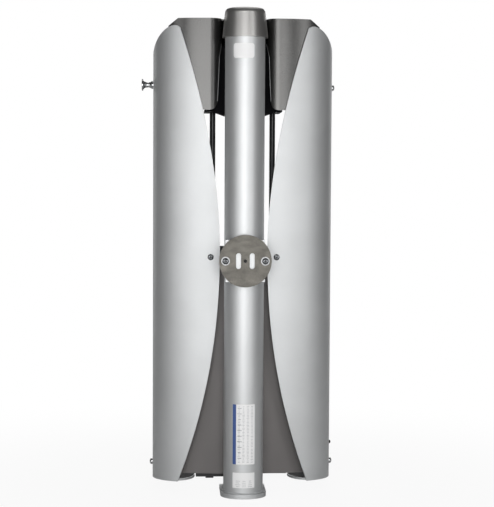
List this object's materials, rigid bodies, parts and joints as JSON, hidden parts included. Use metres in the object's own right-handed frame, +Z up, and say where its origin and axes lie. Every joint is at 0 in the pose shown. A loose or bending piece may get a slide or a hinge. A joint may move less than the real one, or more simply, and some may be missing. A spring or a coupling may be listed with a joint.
{
  "type": "weight stack tower",
  "caption": "Upright weight-stack tower of a strength machine: round column, medallion, curved side shells, head cover, and pin-selected plates on guide rods with cable and pulleys.",
  "frame": {"origin": "centre of the underside of the column's foot plate circle, on the column's axis at floor level", "axes": "+Z up along the column; -Y is the front, where the column and medallion face; +Y is the user's side, where the selector pin is pulled; +X is to the right seen from the front"},
  "size_m": [0.6311, 0.4796, 1.551],
  "materials": {
    "silver_paint": "satin metallic silver paint",
    "charcoal_moulding": "dark warm grey metallic moulded plastic",
    "panel_grey": "dark warm grey satin paint",
    "black_steel": "black satin paint",
    "disc_steel": "brown-grey speckled brushed steel",
    "bright_zinc": "bright plating",
    "rubber": "matt black",
    "nylon": "black nylon",
    "plate_paint": "black textured paint",
    "cable_coat": "black nylon coat over steel wire"
  },
  "bodies": {
    "tower": {"accessory_hook": "bright_zinc", "base_pod_left": "black_steel", "base_pod_right": "black_steel", "base_spine": "black_steel", "cable_column_run": "cable_coat", "cable_end_stud": "bright_zinc", "cable_lift_run": "cable_coat", "column_cap": "charcoal_moulding", "column_foot_plate": "silver_paint", "column_tube": "silver_paint", "connector_bracket": "black_steel", "disc_bolt_left": "bright_zinc", "disc_bolt_right": "bright_zinc", "disc_saddle": "silver_paint", "disc_washer_left": "bright_zinc", "disc_washer_right": "bright_zinc", "guide_rod_left": "black_steel", "guide_rod_right": "black_steel", "head_cover": "charcoal_moulding", "head_pulley_axle": "bright_zinc", "head_pulley_bracket": "black_steel", "low_pulley_axle": "bright_zinc", "lower_panel": "panel_grey", "lower_screw_left": "bright_zinc", "lower_screw_right": "bright_zinc", "medallion_disc": "disc_steel", "mid_crossbar": "black_steel", "mid_screw_left": "bright_zinc", "mid_screw_right": "bright_zinc", "rear_foot_beam": "black_steel", "rear_pad_left": "rubber", "rear_pad_right": "rubber", "shell_left": "silver_paint", "shell_right": "silver_paint", "side_plug_right": "rubber", "stack_bumper_left": "rubber", "stack_bumper_right": "rubber", "stack_rest_left": "black_steel", "stack_rest_right": "black_steel", "top_frame": "black_steel", "upper_screw_right": "bright_zinc", "weight_plate_06": "plate_paint", "weight_plate_07": "plate_paint", "weight_plate_08": "plate_paint", "weight_plate_09": "plate_paint", "weight_plate_10": "plate_paint", "weight_plate_11": "plate_paint", "weight_plate_12": "plate_paint", "weight_plate_13": "plate_paint", "weight_plate_14": "plate_paint"},
    "carriage": {"head_plate": "plate_paint", "selector_stem": "bright_zinc", "weight_plate_01": "plate_paint", "weight_plate_02": "plate_paint", "weight_plate_03": "plate_paint", "weight_plate_04": "plate_paint", "weight_plate_05": "plate_paint"},
    "pin": {"selector_pin": "nylon"},
    "head_pulley_wheel": {"head_pulley": "nylon"},
    "low_pulley_wheel": {"low_pulley": "nylon"}
  },
  "joints": [
    {"name": "head_lift", "type": "slide", "parent": "tower", "child": "carriage", "axis": [0, 0, 1], "range_m": [0, 0.48], "deforming": ["cable_lift_run"]},
    {"name": "pin_pull", "type": "slide", "parent": "carriage", "child": "pin", "axis": [0, 1, 0], "range_m": [0, 0.1]},
    {"name": "head_pulley_spin", "type": "hinge", "parent": "tower", "child": "head_pulley_wheel", "pos_m": [0, 0.0725, 1.36], "axis": [1, 0, 0], "range_deg": [0, 380]},
    {"name": "low_pulley_spin", "type": "hinge", "parent": "tower", "child": "low_pulley_wheel", "pos_m": [0, 0.038, 0.093], "axis": [1, 0, 0], "range_deg": [0, 724]}
  ],
  "couplings": [
    {"joint": "head_pulley_spin", "follows": "head_lift", "rad_per_m": 13.793},
    {"joint": "low_pulley_spin", "follows": "head_lift", "rad_per_m": 26.316}
  ]
}
